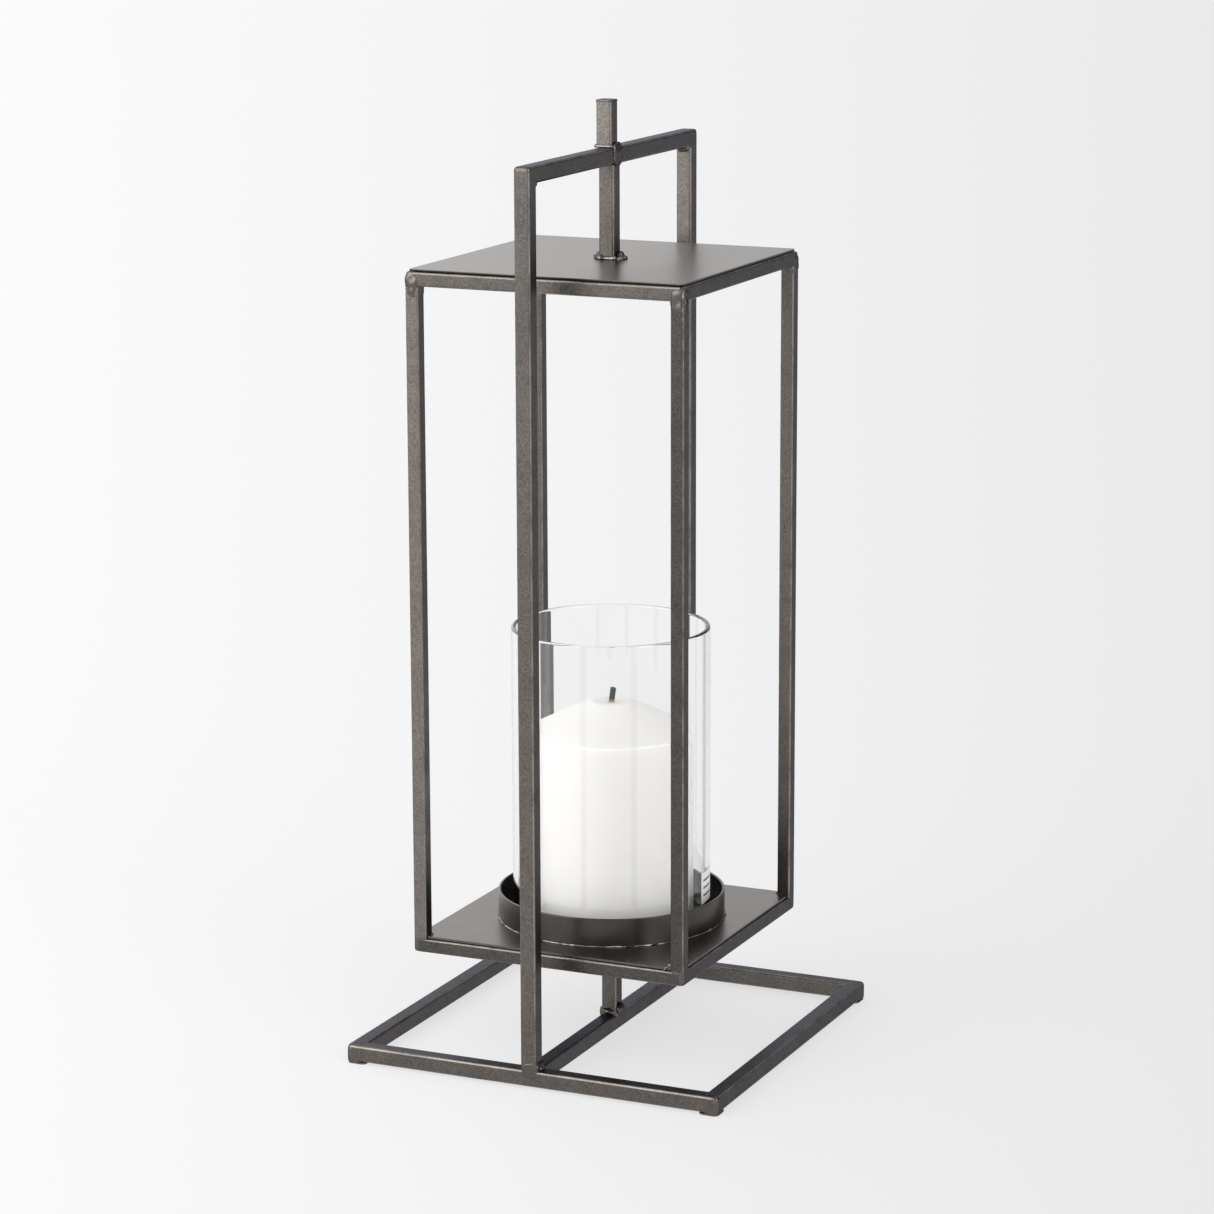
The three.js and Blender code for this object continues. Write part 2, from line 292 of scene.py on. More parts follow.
def wick_cotton():
    """Braided cotton: tan where it leaves the wax, charred black above."""
    s = Shader("wick_cotton")
    inputs = {"Vector": s.place, "Scale": BRAID, "Distortion": 2.0, "Detail": 2.0}
    braid = s.node("TexWave", inputs, bands_direction="DIAGONAL").outputs["Fac"]
    height = s.node("SeparateXYZ", {"Vector": s.place}).outputs["Z"]
    wax_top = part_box("candle")[1].z - DISH_DEPTH
    charred = s.remap(height, wax_top + TAN_TO, wax_top + CHARRED_FROM, 0, 1)
    shade = s.remap(braid, low=0.2, high=0.8, to_low=0.5, to_high=1.5)
    s.set(
        Base_Color=s.scale(s.mix(charred, COTTON_TAN, COTTON_BLACK), shade),
        Roughness=0.9,
        Normal=s.bump(braid, strength=0.8, distance=0.2 * MM),
    )
    return s.material


def label_paper():
    """A plain white label with three grey rules across it."""
    s = Shader("label_paper")
    low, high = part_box("glass_label")
    middle = (low + high) / 2
    place = s.node("SeparateXYZ", {"Vector": s.place}).outputs
    up = s.math("SUBTRACT", place["Z"], middle.z)
    along = s.math("ABSOLUTE", s.math("SUBTRACT", place["Y"], middle.y))
    wave = s.math("COSINE", s.math("MULTIPLY", up, 2 * math.pi / RULE_SPACING))
    rule = s.remap(wave, *RULE_EDGE, 0, 1)
    in_width = s.math("LESS_THAN", along, RULE_SHARE * (high.y - low.y))
    in_height = s.math("LESS_THAN", s.math("ABSOLUTE", up), RULES_HALF_HEIGHT)
    printed = s.math("MULTIPLY", rule, s.math("MULTIPLY", in_width, in_height))
    grain = s.noise(PAPER_GRAIN)
    white = s.mix(s.spread(grain, 0, 1), PAPER_DARK, PAPER_LIGHT)
    s.set(
        Base_Color=s.mix(printed, white, RULE_INK),
        Roughness=0.55,
        Normal=s.bump(grain, strength=0.2, distance=0.08 * MM),
    )
    return s.material


TUBE_PAINT = bronze_paint("bronze_tube", flake_depth=0.5, roughness=0.35, grain=0.55, glance=FILM_GLANCE)
SHEET_PAINT = bronze_paint("bronze_sheet", flake_depth=0.15, roughness=0.32, grain=0.12)
WELD_PAINT = bronze_paint("bronze_weld", flake_depth=0.42, roughness=0.33, grain=0.45, glance=FILM_GLANCE)
GLASS = clear_glass()
WAX = candle_wax()
COTTON = wick_cotton()
PAPER = label_paper()

# ------------------------------------------------------------------ meshes

ROUND_SEGMENTS = 160  # around the ring, the glass and the candle


class Mesh:
    """A mesh being drawn, with the tone of its paint, painted light and shade included, and its rub at
    each vertex.
    """

    def __init__(self):
        self.bm = bmesh.new()
        self.tone = self.bm.verts.layers.float.new("tone")
        self.rub = self.bm.verts.layers.float.new("rub")

    def vertex(self, place, tone=1.0, rub=0.0):
        made = self.bm.verts.new(place)
        made[self.tone] = tone
        made[self.rub] = rub
        return made

    def bridge(self, rings, closed=False):
        """Faces between neighbouring rings; closed joins the last ring to the first."""
        pairs = list(zip(rings, rings[1:]))
        if closed:
            pairs.append((rings[-1], rings[0]))
        for lower, upper in pairs:
            for i in range(len(lower)):
                j = (i + 1) % len(lower)
                self.bm.faces.new((lower[i], lower[j], upper[j], upper[i]))

    def cap_ends(self, rings):
        """Closes the first ring and the last."""
        self.bm.faces.new(rings[0])
        self.bm.faces.new(rings[-1])

    def piece(self, name, material, slot, body, replaced=(), smooth_angle=35.0):
        """Makes the object, smooth below an angle, and fastens it to a body."""
        bmesh.ops.recalc_face_normals(self.bm, faces=self.bm.faces)
        data = bpy.data.meshes.new(name)
        self.bm.to_mesh(data)
        self.bm.free()
        for face in data.polygons:
            face.use_smooth = True
        data.set_sharp_from_angle(angle=math.radians(smooth_angle))
        data.materials.append(material)
        made = bpy.data.objects.new(name, data)
        bpy.context.scene.collection.objects.link(made)
        made.modifiers.new("flat_faces_stay_flat", "WEIGHTED_NORMAL").keep_sharp = True
        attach(made, body)
        if replaced:
            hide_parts(*replaced)
        return made


def arc_points(centre_r, centre_z, radius, from_degrees, to_degrees, steps):
    """Points along an arc in the (radius, height) plane."""
    points = []
    for i in range(steps + 1):
        angle = math.radians(from_degrees + (to_degrees - from_degrees) * i / steps)
        points.append((centre_r + radius * math.cos(angle), centre_z + radius * math.sin(angle)))
    return points


def turned_mesh(outline, tone=1.0):
    """A closed outline of (radius, height) points turned about the Z axis."""
    mesh = Mesh()
    rings = []
    for radius, height in outline:
        ring = []
        for i in range(ROUND_SEGMENTS):
            angle = 2 * math.pi * i / ROUND_SEGMENTS
            ring.append(mesh.vertex((radius * math.cos(angle), radius * math.sin(angle), height), tone))
        rings.append(ring)
    mesh.bridge(rings, closed=True)
    return mesh


# ------------------------------------------------------------------ square tubes

TUBE_WALL = 1 * MM
CORNER_SHARE = 0.15  # outside corner radius, as a share of the tube's side
INNER_CORNER = 0.4 * MM  # inside corner radius
CORNER_STEPS = 6
FACE_INSET = 0.12 * MM  # tubes are drawn this much slimmer, so that welds can stand proud of them
FLUSH = FACE_INSET + 0.02 * MM  # how far a ground weld lies below the CAD faces
MITRE_CUT = 0.3  # missing from a mitred corner's point, as a share of the side; a weld fills it
ARRIS_RUB = 0.75  # how rubbed a tube's rounded corners are along their middle
SIDES = {
    "front": Vector((0, -1, 0)),
    "right": Vector((1, 0, 0)),
    "back": Vector((0, 1, 0)),
    "left": Vector((-1, 0, 0)),
}
CORNERS = {"front_left": (-1, -1), "front_right": (1, -1), "back_right": (1, 1), "back_left": (-1, 1)}
FRONT_PAINTED_LIGHT = {  # painted light and shade: front faces painted brighter or darker, as each tube catches the light
    "front_left_post": 1.35,
    "front_right_post": 0.6,
    "finial_stub": 1.5,
    "rear_upright": 1.5,
    "upper_centre_post": 1.1,
    "bottom_front_rail": 0.66,
    "base_front_tube": 0.9,
}


def rounded_square(half, radius):
    """Points around a rounded square about the origin, each with its outward normal."""
    points = []
    inner = half - radius
    for quarter in range(4):
        turn = Matrix.Rotation(math.radians(90 * quarter), 2)
        for step in range(CORNER_STEPS + 1):
            share = step / CORNER_STEPS
            angle = math.radians(90 * share)
            normal = Vector((math.cos(angle), math.sin(angle)))
            points.append((turn @ (Vector((inner, inner)) + radius * normal), turn @ normal))
    return points


def corner_share(normal):
    """Nothing on a tube's flat faces, rising steeply to most in the middle of its corners."""
    return 16 * (normal.x * normal.y) ** 4


def add_tube(node, outward, mitre_low=False, mitre_high=False):
    """A hollow square tube in the place of its CAD node. Mitred ends are longer outward."""
    low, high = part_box(node)
    size = high - low
    along = Vector([1 if extent == max(size) else 0 for extent in size])
    sideways = outward.cross(along)
    centre = (low + high) / 2
    half_length = max(size) / 2
    side = min(size)
    front_painted_light = FRONT_PAINTED_LIGHT.get(node, 1.0)
    mesh = Mesh()
    outer = rounded_square(side / 2 - FACE_INSET, side * CORNER_SHARE)
    inner = rounded_square(side / 2 - TUBE_WALL, INNER_CORNER)
    rings = []
    for section, ends, rubbed in ((outer, (-1, 1), ARRIS_RUB), (inner, (1, -1), 0)):
        for end in ends:
            mitred = mitre_high if end > 0 else mitre_low
            ring = []
            for point, normal in section:
                slant = min(point.y - side / 2, -side * MITRE_CUT) if mitred else 0
                place = centre + sideways * point.x + outward * point.y
                place += along * end * (half_length + slant)
                facing = sideways * normal.x + outward * normal.y
                # the front face carries its tube's painted light or shade
                tone = 1 + (front_painted_light - 1) * max(0, facing.dot(SIDES["front"]))
                ring.append(mesh.vertex(place, tone, rubbed * corner_share(normal)))
            rings.append(ring)
    mesh.bridge(rings, closed=True)
    mesh.piece(f"{node}_painted", TUBE_PAINT, "bronze_tube", "frame", [node])


def add_tubes():
    """Mitred square frames below, and plain posts and bars between them."""
    for side, outward in SIDES.items():
        for node in (f"base_{side}_tube", f"bottom_{side}_rail", f"top_{side}_rail"):
            add_tube(node, outward, mitre_low=True, mitre_high=True)
    add_tube("front_upright", SIDES["front"], mitre_high=True)
    add_tube("rear_upright", SIDES["back"], mitre_high=True)
    add_tube("handle_bar", UP, mitre_low=True, mitre_high=True)
    add_tube("base_centre_bar", UP)
    for node in ("lower_centre_post", "upper_centre_post", "finial_stub"):
        add_tube(node, SIDES["front"])
    for corner in CORNERS:
        add_tube(f"{corner}_post", SIDES["front"])


# ------------------------------------------------------------------ welds

WELD_RANDOM = random.Random(11)
NOISE_SPAN = 50  # how far apart in the noise two welds' lumps may be taken from

BEAD_SIDES = 10
BEAD_LUMPS = 420  # features per metre along a bead
BEAD_PITS = 900  # features per metre of the finer roughness on it
BEAD_PIT_SHARE = 0.18  # of its thickness
BEAD_TIP = 0.35  # an open bead's thickness at its ends, as a share of its full thickness
BEAD_TAPER = 1.2  # the share that it gains over the first third of its points

LUMP_RINGS = 18
LUMP_SIDES = 32
FINE_GRAIN = 3  # a lump's fine knobs are this many times as close as its coarse ones
FINE_SHARE = 0.5  # and this share of their height

GROUND = 0.03 * MM  # unevenness left on a weld that has been ground flat
DIAGONAL_RIGHT_UP = Vector((1, 0, 1)).normalized()
DIAGONAL_RIGHT_FRONT = Vector((1, -1, 0)).normalized()


def weld_seed():
    """Where in the noise a weld's lumps are taken from, so that no two look alike."""
    x = WELD_RANDOM.uniform(0, NOISE_SPAN)
    y = WELD_RANDOM.uniform(0, NOISE_SPAN)
    return Vector((x, y, 0))


def within_cad_box(place):
    """Welds that lie on an outside face are ground flush with the lantern's own extent."""
    return Vector([min(max(p, low), high) for p, low, high in zip(place, cad_low, cad_high)])


def straight_path(start, end, count):
    """Evenly spaced points from start to end."""
    return [start + (end - start) * i / (count - 1) for i in range(count)]


def add_bead(name, path, normals, thickness, wobble=0.25, closed=False, tone=1.15, rub=0.25):
    """A lumpy weld bead swept along a path; it bulges along each point's normal."""
    mesh = Mesh()
    seed = weld_seed()
    rings = []
    count = len(path)
    for i, (point, normal) in enumerate(zip(path, normals)):
        before = path[i - 1] if closed or i > 0 else point
        after = path[(i + 1) % count] if closed or i < count - 1 else point
        across = (after - before).normalized().cross(normal).normalized()
        steps_from_end = min(i, count - 1 - i)
        taper = min(1.0, BEAD_TIP + BEAD_TAPER * steps_from_end / (count / 3))
        lump = 1 + 2 * wobble * noise.noise(point * BEAD_LUMPS + seed)
        radius = thickness * lump * (1.0 if closed else taper)
        ring = []
        for k in range(BEAD_SIDES):
            angle = 2 * math.pi * k / BEAD_SIDES
            pit = noise.noise((point + across * k * MM) * BEAD_PITS + seed)
            offset = normal * math.cos(angle) + across * math.sin(angle)
            place = within_cad_box(point + offset * radius * (1 + BEAD_PIT_SHARE * pit))
            ring.append(mesh.vertex(place, tone, rub * max(0, math.cos(angle))))
        rings.append(ring)
    mesh.bridge(rings, closed=closed)
    if not closed:
        mesh.cap_ends(rings)
    mesh.piece(name, WELD_PAINT, "bronze_tube", "frame", smooth_angle=70)


def add_lump(name, centre, half, squareness, wobble, grain=300, tone=1.0):
    """A knobbly weld over a joint: a rounded block that dips in and out of the tubes' faces.

    half is the block's half size, wobble the height of its knobs and grain how many of them
    there are in a metre. A squareness of 2 is an ellipsoid, and more is closer to a block.
    """
    mesh = Mesh()
    seed = weld_seed()
    rings = []
    for i in range(1, LUMP_RINGS):
        tilt = math.pi * (i / LUMP_RINGS - 0.5)
        ring = []
        for k in range(LUMP_SIDES):
            turn = 2 * math.pi * k / LUMP_SIDES
            across = math.cos(tilt)
            way = Vector((math.cos(turn) * across, math.sin(turn) * across, math.sin(tilt)))
            reach = sum(abs(part) ** squareness for part in way) ** (-1 / squareness)
            place = centre + Vector([part * reach * extent for part, extent in zip(way, half)])
            swell = wobble * noise.noise(place * grain + seed)
            swell += wobble * FINE_SHARE * noise.noise(place * grain * FINE_GRAIN + seed)
            ring.append(mesh.vertex(within_cad_box(place + way * swell), tone))
        rings.append(ring)
    mesh.bridge(rings)
    mesh.cap_ends(rings)
    mesh.piece(name, WELD_PAINT, "bronze_tube", "frame", smooth_angle=60)


FOOT_STEPS = 9  # points of a foot weld along each side of its post
FOOT_ROUNDING = 0.12  # how far a foot weld cuts a post's corners, as a share of its half width
FOOT_LEAN = 0.6  # how much a foot weld faces up, for each part that it faces out
FOOT_LIFT = 0.35  # its middle line's height, as a share of its thickness


def add_foot_weld(name, node, thickness, wobble=0.3):
    """A bead around the foot of a post, leaning on the surface that the post stands on."""
    low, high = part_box(node)
    foot = (low + high) / 2
    foot.z = low.z
    half = (high.x - low.x) / 2
    path, normals = [], []
    for quarter in range(4):
        turn = Matrix.Rotation(math.radians(90 * quarter), 3, "Z")
        for step in range(FOOT_STEPS):
            share = step / FOOT_STEPS * 2 - 1
            squeeze = 1 - FOOT_ROUNDING * abs(share) ** 6
            around = turn @ Vector((half * squeeze, half * share, 0))
            outward = turn @ Vector((1, 0.9 * share**3, 0)).normalized()
            path.append(foot + around + UP * FOOT_LIFT * thickness)
            normals.append((outward + UP * FOOT_LEAN).normalized())
    add_bead(name, path, normals, thickness, wobble, closed=True, rub=0.5)


UPRIGHT_FOOT_SHIFT = mm(0.7, 0, -0.2)  # of an upright's foot weld, from the top of the base
UPRIGHT_FOOT_PROUD = mm(0.75, 0.95, 0.6)  # how far that weld stands out of the tube
SIDE_BEAD_POINTS = 14
SIDE_BEAD_STEP = 0.55 * MM
SIDE_BEAD_CLEAR = 0.3 * MM  # from the surfaces that it joins to its middle line
SIDE_BEAD_INSET = 0.8 * MM  # from the base's outside face to its start


def add_base_welds():
    """The base's mitred corners are welded and ground flush; its uprights are welded on top."""
    low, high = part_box("base_front_tube")
    half = (high.z - low.z) / 2
    line = cad_high.y - half  # from the middle of the base to its tubes' centre lines
    reach = half - FLUSH
    for corner, (x, y) in CORNERS.items():
        centre = Vector((x * line, y * line, high.z / 2))
        extent = (reach, reach, high.z / 2)
        add_lump(f"weld_base_{corner}", centre, extent, squareness=5.5, wobble=GROUND)
    for side, node in ((-1, "front_upright"), (1, "rear_upright")):
        centre = Vector((0, side * line, high.z)) + UPRIGHT_FOOT_SHIFT
        extent = Vector((half, half, half)) + UPRIGHT_FOOT_PROUD
        add_lump(f"weld_{node}_foot", centre, extent, squareness=2.8, wobble=MM, grain=380, tone=0.85)
        start_y = side * (cad_high.y - SIDE_BEAD_INSET)
        start = Vector((half + SIDE_BEAD_CLEAR, start_y, high.z + SIDE_BEAD_CLEAR))
        path = [start - Vector((0, side * SIDE_BEAD_STEP * i, 0)) for i in range(SIDE_BEAD_POINTS)]
        leans = [DIAGONAL_RIGHT_UP] * SIDE_BEAD_POINTS
        add_bead(f"weld_{node}_side", path, leans, thickness=MM, wobble=0.5, rub=0.7)


FOOT_RISE = 1 * MM  # half of what a cage post's foot weld reaches up inside the post
HEAD_PROUD = 0.3 * MM  # how far its head weld stands out of the post
HEAD_RISE = 0.15  # of its middle above the post's top, as a share of the post's half width
HEAD_REACH = 1.9  # half its height, as a share of the post's half width
INSIDE_LUMP = mm(1.5, 1.9, 1.6)  # half the size of the lump on the floor sheet, at its foot
INSIDE_SHIFT = 0.4  # how far along Y it is from the post's middle, as a share of the half width


def add_cage_welds():
    """Each corner of the cage: a smooth weld at its foot and a rough one at its head."""
    for corner, (x, y) in CORNERS.items():
        low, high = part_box(f"{corner}_post")
        half = (high.x - low.x) / 2
        middle = (low + high) / 2
        foot = Vector((middle.x, middle.y, low.z - half + FOOT_RISE))
        reach = half - FLUSH
        extent = (reach, reach, reach + FOOT_RISE)
        add_lump(f"weld_{corner}_foot", foot, extent, squareness=9.0, wobble=GROUND)
        head = Vector((middle.x, middle.y, high.z + HEAD_RISE * half))
        reach = half + HEAD_PROUD
        extent = (reach, reach, HEAD_REACH * half)
        add_lump(f"weld_{corner}_head", head, extent, squareness=3.6, wobble=0.6 * MM, grain=330)
        inner = Vector((middle.x - x * half, middle.y - y * INSIDE_SHIFT * half, low.z))
        add_lump(f"weld_{corner}_inside", inner, INSIDE_LUMP, squareness=2.2, wobble=0.6 * MM, grain=700)


RUN_POINTS = 22
SEAM_INSET = 0.55 * MM  # from the post's sharp corner to the seam, along X and along Y
SEAM_ABOVE = 5.5 * MM  # the seam starts above the post's top and ends below it
SEAM_BELOW = 16 * MM
RUN_SHIFT = mm(0, -1, -1)  # from the top of the post's right face
RUN_LUMP = mm(0.7, 1.9, 5)
TAIL_START = mm(-3.2, 0.5, 0)  # from the foot of the post's left face
TAIL_LENGTH = mm(3.8, -0.4, 3.4)


def add_front_corner_runs():
    """Weld metal that ran down the front right post's arris, and a tail at the post's foot."""
    low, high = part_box("front_right_post")
    arris = Vector((high.x - SEAM_INSET, low.y + SEAM_INSET, high.z))
    path = straight_path(arris + UP * SEAM_ABOVE, arris - UP * SEAM_BELOW, RUN_POINTS)
    outward = [DIAGONAL_RIGHT_FRONT] * RUN_POINTS
    add_bead("weld_front_seam", path, outward, thickness=0.85 * MM, wobble=0.4, tone=0.9, rub=0.2)
    centre = Vector((high.x, (low.y + high.y) / 2, high.z)) + RUN_SHIFT
    add_lump("weld_front_run", centre, RUN_LUMP, squareness=2.2, wobble=0.5 * MM, grain=500, tone=0.8)
    start = low + TAIL_START
    path = straight_path(start, start + TAIL_LENGTH, RUN_POINTS)
    outward = [SIDES["front"]] * RUN_POINTS
    add_bead("weld_front_tail", path, outward, thickness=0.7 * MM, wobble=0.5, rub=0.6)


FILLET_POINTS = 9
FILLET_SHARE = 0.95  # of the bar's width
FINIAL_SIDE_SHIFT = mm(-0.6, 0.6, 0.6)  # from the middle of the bar's right face
FINIAL_SIDE_LUMP = mm(1.5, 4.4, 5.4)


def add_handle_welds():
    """Ground corners with a fillet inside each, and a lump where the finial crosses the bar."""
    low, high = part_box("handle_bar")
    half = (high.z - low.z) / 2
    reach = half - FLUSH
    for side, name in ((-1, "front"), (1, "rear")):
        centre = Vector((0, side * (cad_high.y - half), high.z - half))
        extent = (reach, reach, reach)
        add_lump(f"weld_handle_{name}", centre, extent, squareness=8.0, wobble=GROUND)
        corner = Vector((0, side * (cad_high.y - 2 * half), low.z))
        sideways = SIDES["right"] * reach * FILLET_SHARE
        path = straight_path(corner - sideways, corner + sideways, FILLET_POINTS)
        inward = [Vector((0, -side, -1)).normalized()] * FILLET_POINTS
        add_bead(f"weld_handle_{name}_fillet", path, inward, thickness=2.7 * MM, wobble=0.12, tone=0.9)
    centre = Vector((high.x, 0, high.z - half)) + FINIAL_SIDE_SHIFT
    add_lump("weld_finial_side", centre, FINIAL_SIDE_LUMP, squareness=3.0, wobble=0.7 * MM, tone=0.85)


RING_WELD_HEIGHT = 0.1 * MM  # of its middle line, above the ring's foot


def add_ring_weld():
    """The thin, broken line of weld around the foot of the candle ring."""
    low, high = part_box("candle_ring")
    outer = (high.x - low.x) / 2
    path, normals = [], []
    for i in range(ROUND_SEGMENTS):
        angle = 2 * math.pi * i / ROUND_SEGMENTS
        outward = Vector((math.cos(angle), math.sin(angle), 0))
        path.append(outward * outer + UP * (low.z + RING_WELD_HEIGHT))
        normals.append((outward + UP).normalized())
    thickness = 0.38 * MM
    add_bead("weld_ring_foot", path, normals, thickness, wobble=1.1, closed=True, tone=1.3, rub=0.9)


UPPER_SIDE_SHIFT = mm(4.9, 0.4, 0.4)  # of the lumps left and right of the upper post's foot
UPPER_SIDE_LUMP = mm(3.1, 3.4, 2.8)
LOWER_FOOT_HEIGHT = 0.5 * MM  # of the middle of the lower post's foot weld, above the post's foot
LOWER_FOOT_PROUD = 1.1 * MM  # how far that weld stands out of the post
LOWER_FOOT_HALF_HEIGHT = 2.7 * MM
LOWER_SIDE_SHIFT = mm(0.9, -0.6, 1.9)  # from the foot of the lower post's right face
LOWER_SIDE_LUMP = mm(1.7, 3.2, 2.9)


def add_post_welds():
    """The feet of the two centre posts and of the finial."""
    add_foot_weld("weld_upper_post_foot", "upper_centre_post", thickness=1.5 * MM, wobble=0.45)
    low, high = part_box("upper_centre_post")
    foot = Vector(((low.x + high.x) / 2, 0, low.z))
    for side, name in ((-1, "left"), (1, "right")):
        centre = foot + UPPER_SIDE_SHIFT * Vector((side, 1, 1))
        extent = UPPER_SIDE_LUMP
        add_lump(f"weld_upper_post_{name}", centre, extent, squareness=1.5, wobble=1.1 * MM, grain=420)
    low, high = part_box("lower_centre_post")
    foot = Vector(((low.x + high.x) / 2, (low.y + high.y) / 2, low.z))
    reach = (high.x - low.x) / 2 + LOWER_FOOT_PROUD
    extent = (reach, reach, LOWER_FOOT_HALF_HEIGHT)
    centre = foot + UP * LOWER_FOOT_HEIGHT
    add_lump("weld_lower_post_foot", centre, extent, squareness=3.2, wobble=0.9 * MM, grain=420)
    add_foot_weld("weld_finial_foot", "finial_stub", thickness=0.9 * MM)
    centre = Vector((high.x, 0, low.z)) + LOWER_SIDE_SHIFT
    extent = LOWER_SIDE_LUMP
    add_lump("weld_lower_post_side", centre, extent, squareness=2.4, wobble=0.8 * MM, grain=400, tone=0.9)


def add_welds():
    """All the welds. Each takes its lumps from the noise in turn, so the order matters."""
    add_base_welds()
    add_cage_welds()
    add_front_corner_runs()
    add_handle_welds()
    add_ring_weld()
    add_post_welds()


# ------------------------------------------------------------------ round pieces

RING_WALL = 1.2 * MM
RING_EDGE = 0.4 * MM  # rounding of the ring's edges
RING_TONE = 0.62  # it is darker than the sheets
GLASS_RIM = 1.1 * MM  # half the wall's thickness; both rims are round
WICK_HOLE = 1.5 * MM  # radius
WAX_EDGE = 1.6 * MM  # rounding of the candle's foot and shoulder
CONE_HEIGHT = 13.3 * MM
DISH_DIAMETER = 19 * MM
DISH_MIDWAY = 0.85  # how deep the dish is halfway to its brim, as a share of its depth
BRIM_PROFILE = [(2, 0.8), (0.6, 0.2), (-0.4, 0), (-2, 0.24)]  # mm out from the brim, and down


def add_ring():
    """A low strip of sheet bent into a ring, with rounded edges."""
    low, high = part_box("candle_ring")
    outer = (high.x - low.x) / 2
    outer_edge = outer - RING_EDGE
    inner_edge = outer - RING_WALL + RING_EDGE
    bottom, top = low.z + RING_EDGE, high.z - RING_EDGE
    outline = [
        *arc_points(outer_edge, bottom, RING_EDGE, -90, 0, steps=3),
        *arc_points(outer_edge, top, RING_EDGE, 0, 90, steps=3),
        *arc_points(inner_edge, top, RING_EDGE, 90, 180, steps=3),
        *arc_points(inner_edge, bottom, RING_EDGE, 180, 270, steps=3),
    ]
    mesh = turned_mesh(outline, RING_TONE)
    mesh.piece("candle_ring_painted", SHEET_PAINT, "bronze_sheet", "frame", ["candle_ring"])


def add_glass():
    """An open sleeve with round rims."""
    low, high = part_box("glass_cylinder")
    middle = (high.x - low.x) / 2 - GLASS_RIM
    outline = [
        *arc_points(middle, low.z + GLASS_RIM, GLASS_RIM, 180, 360, steps=8),
        *arc_points(middle, high.z - GLASS_RIM, GLASS_RIM, 0, 180, steps=8),
    ]
    mesh = turned_mesh(outline)
    replaced = ["glass_cylinder"]
    mesh.piece("glass_sleeve_clear", GLASS, "clear_glass", "glass_sleeve", replaced, smooth_angle=60)


def add_candle():
    """A pillar with a blunt cone on top, whose brim rounds over into a shallow dish."""
    low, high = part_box("candle")
    outer = (high.x - low.x) / 2
    shoulder = high.z - CONE_HEIGHT
    brim = DISH_DIAMETER / 2
    outline = [
        (WICK_HOLE, low.z),
        *arc_points(outer - WAX_EDGE, low.z + WAX_EDGE, WAX_EDGE, -90, 0, steps=5),
        *arc_points(outer - WAX_EDGE, shoulder - WAX_EDGE, WAX_EDGE, 0, 70, steps=6),
        ((outer + brim) / 2, shoulder + CONE_HEIGHT / 2),
        *[(brim + out * MM, high.z - down * MM) for out, down in BRIM_PROFILE],
        (brim / 2, high.z - DISH_MIDWAY * DISH_DEPTH),
        (WICK_HOLE, high.z - DISH_DEPTH),
    ]
    mesh = turned_mesh(outline)
    mesh.piece("candle_wax_body", WAX, "candle_wax", "pillar_candle", ["candle"])


# ------------------------------------------------------------------ flat pieces

# Radius of each slab's upright corners, top edges and bottom edges.
SHEET_ROUNDING = mm(1.5, 0.15, 0.1)
CAP_ROUNDING = mm(1.2, 0.35, 0.05)
PAD_ROUNDING = mm(2, 0.05, 0.45)


def add_slab(node, rounding, finish, slot, side_painted_shade=1.0):
    """A square slab with rounded corners and edges; its sides may be painted darker than its top, as
    painted shade.
    """
    corner, top_edge, bottom_edge = rounding
    low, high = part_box(node)
    centre = (low + high) / 2
    half = (high.x - low.x) / 2
    under = arc_points(half - bottom_edge, low.z + bottom_edge, bottom_edge, -90, 0, steps=4)
    over = arc_points(half - top_edge, high.z - top_edge, top_edge, 0, 90, steps=3)
    profile = [(*point, side_painted_shade) for point in under]
    profile.append((half, (low.z + high.z) / 2, side_painted_shade))
    profile += [(*point, 1.0) for point in over]
    mesh = Mesh()
    rings = []
    for reach, z, tone in profile:
        ring = []
        for point, normal in rounded_square(reach, corner):
            ring.append(mesh.vertex((centre.x + point.x, centre.y + point.y, z), tone))
        rings.append(ring)
    mesh.bridge(rings)
    mesh.cap_ends(rings)
    mesh.piece(f"{node}_painted", finish, slot, "frame", [node])


def add_slabs():
    """The roof sheet, the finial's cap and the pads under the base."""
    # the roof sheet's sides are painted near black: a painted shadow in the gap under its edge
    add_slab("top_plate", SHEET_ROUNDING, SHEET_PAINT, "bronze_sheet", side_painted_shade=0.2)
    add_slab("finial_cap", CAP_ROUNDING, TUBE_PAINT, "bronze_tube")
    for corner in CORNERS:
        add_slab(f"foot_pad_{corner}", PAD_ROUNDING, TUBE_PAINT, "foot_pad")


def finish_cad_node(node, material):
    """A CAD node that keeps its own shape gets its finish."""
    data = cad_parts[node].data
    data.materials.clear()
    data.materials.append(material)
    tone = data.attributes.new("tone", "FLOAT", "POINT")
    tone.data.foreach_set("value", [1.0] * len(data.vertices))


# ------------------------------------------------------------------ studio

FLOOR_HALF = 40.0  # half the floor's side, in metres
FAN_WIDTH = 0.9  # metres; keeps the floor's painted shading from closing to a point
FAN_REACH = 0.15  # tangent of the angle, left or right of straight ahead, that the painted shading spans
FLOOR_PAINTED_LIGHT_LEFT = 0.955  # how bright the floor is painted at the two ends of that span: painted light, brighter at the left
FLOOR_PAINTED_LIGHT_RIGHT = 0.81
SOFT_LIGHTS = [  # bearing, elevation, tightness and strength of each soft light in the dome
    (0, 90, 2.0, 0.6),
    (235, 14, 5.0, 1.85),
    (-34, 20, 9.0, 4.5),
    (64, 22, 24.0, 5.5),
]
ROOM_LIGHT = 0.15  # the same from everywhere
TENT_LIGHT = 0.85  # the white of the room as it is seen through the glass
FLOOR_GLOW = 0.748  # how much of the floor's paleness is its own light
FLOOR_REPLY = 0.22  # and how much of it is paint, which gives back the light that falls on it


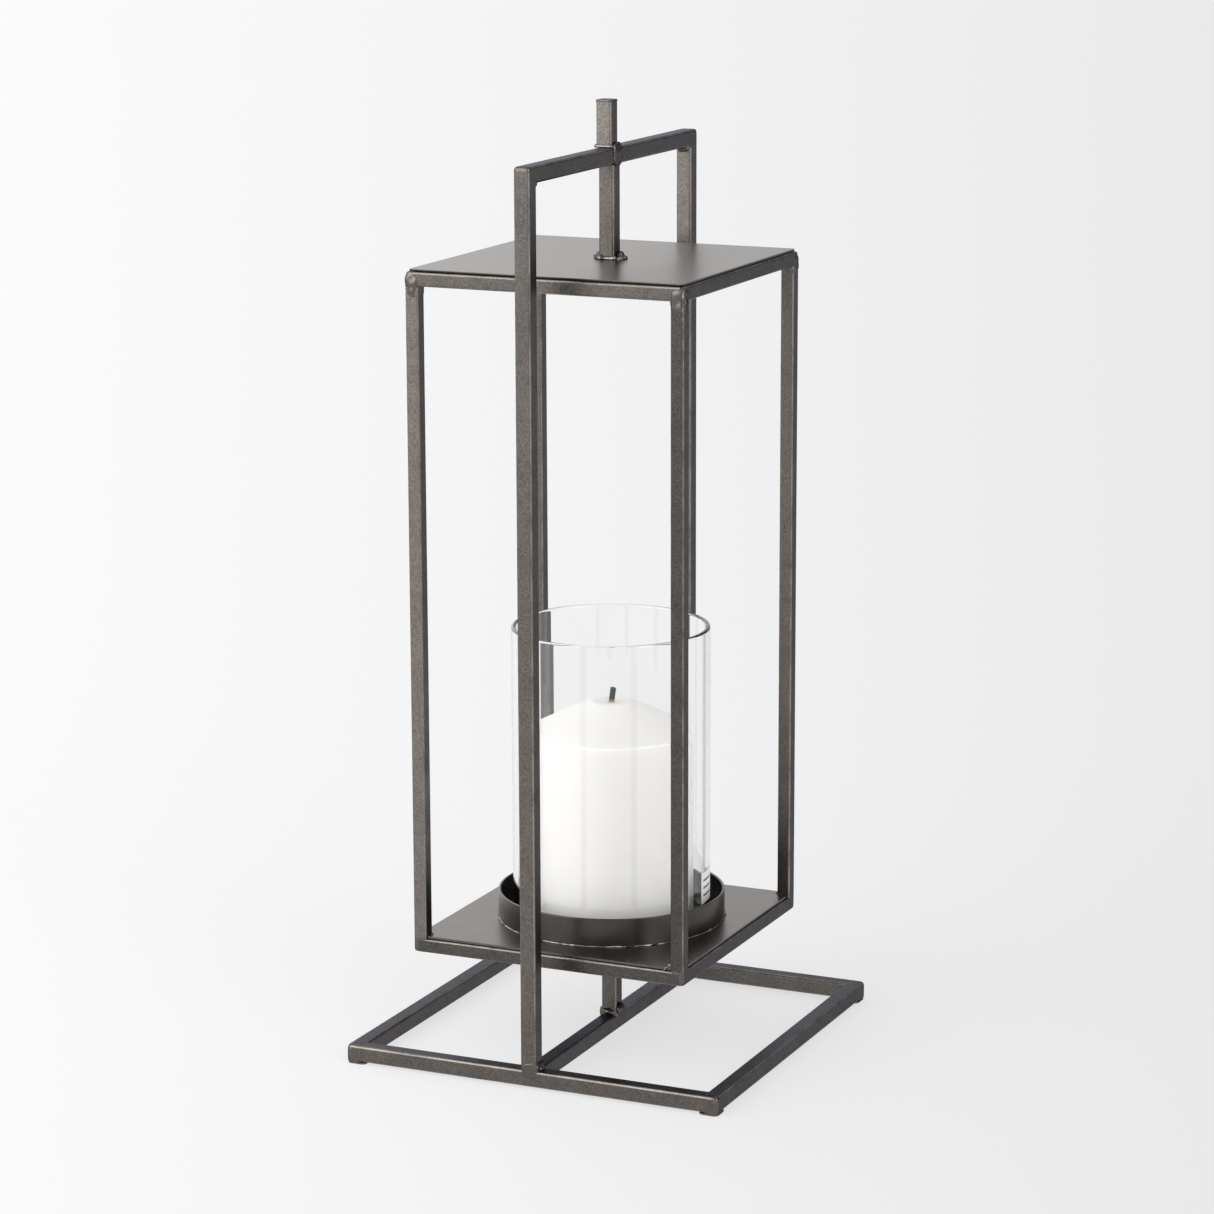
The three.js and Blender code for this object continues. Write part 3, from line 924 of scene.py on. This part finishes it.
def add_floor():
    """A pale floor, lit from within like a light table, and painted brighter towards the left as painted
    light.
    """
    mesh = Mesh()
    corners = [(-1, -1), (1, -1), (1, 1), (-1, 1)]
    mesh.bm.faces.new([mesh.vertex((x * FLOOR_HALF, y * FLOOR_HALF, 0)) for x, y in corners])
    data = bpy.data.meshes.new("floor")
    mesh.bm.to_mesh(data)
    mesh.bm.free()
    s = Shader("floor_paper")
    # painted light: the floor's colour and glow are painted brighter at the left of the view, darker at
    # the right
    away = direction(CAMERA_AZIMUTH + 180, 0)
    right = direction(CAMERA_AZIMUTH + 90, 0)
    depth = s.math("ADD", s.dot(s.place, away), CAMERA_DISTANCE)
    spread = s.math("SQRT", s.math("ADD", s.math("MULTIPLY", depth, depth), FAN_WIDTH**2))
    bearing = s.math("DIVIDE", s.dot(s.place, right), spread)
    shade = s.remap(bearing, -FAN_REACH, FAN_REACH, FLOOR_PAINTED_LIGHT_LEFT, FLOOR_PAINTED_LIGHT_RIGHT)
    white = s.node("CombineColor", {0: shade, 1: shade, 2: shade}).outputs[0]
    s.set(
        Base_Color=s.scale(white, FLOOR_REPLY),
        Emission_Color=white,
        Emission_Strength=FLOOR_GLOW,
        Roughness=0.95,
        Specular_IOR_Level=0.0,
    )
    data.materials.append(s.material)
    floor = bpy.data.objects.new("floor", data)
    bpy.context.scene.collection.objects.link(floor)


def add_soft_light_dome():
    """Large soft lights all round; the one at the front left gives the most light."""
    world = bpy.data.worlds.new("studio")
    bpy.context.scene.world = world
    world.use_nodes = True
    dome = Nodes(world.node_tree)
    bearing = dome.node("TexCoord").outputs["Generated"]
    total = ROOM_LIGHT
    for azimuth, elevation, tightness, strength in SOFT_LIGHTS:
        facing = dome.dot(bearing, direction(azimuth, elevation))
        away = dome.math("MULTIPLY", dome.math("SUBTRACT", facing, 1.0), tightness)
        glow = dome.math("MULTIPLY", dome.math("EXPONENT", away), strength)
        total = dome.math("ADD", total, glow)
    through_glass = dome.node("LightPath").outputs["Is Transmission Ray"]
    total = dome.math("MAXIMUM", total, dome.math("MULTIPLY", through_glass, TENT_LIGHT))
    background = world.node_tree.nodes["Background"]
    dome.feed(background.inputs["Strength"], total)
    background.inputs["Color"].default_value = (1, 1, 1, 1)


# ------------------------------------------------------------------ build

add_tubes()
add_welds()
add_ring()
add_glass()
add_candle()
add_slabs()
finish_cad_node("floor_plate", SHEET_PAINT)
finish_cad_node("glass_label", PAPER)
finish_cad_node("wick", COTTON)
add_camera()
add_floor()
add_soft_light_dome()

# The colours above are meant as they are, with no film look over them.
view = bpy.context.scene.view_settings
view.view_transform = "Standard"
view.look = "None"
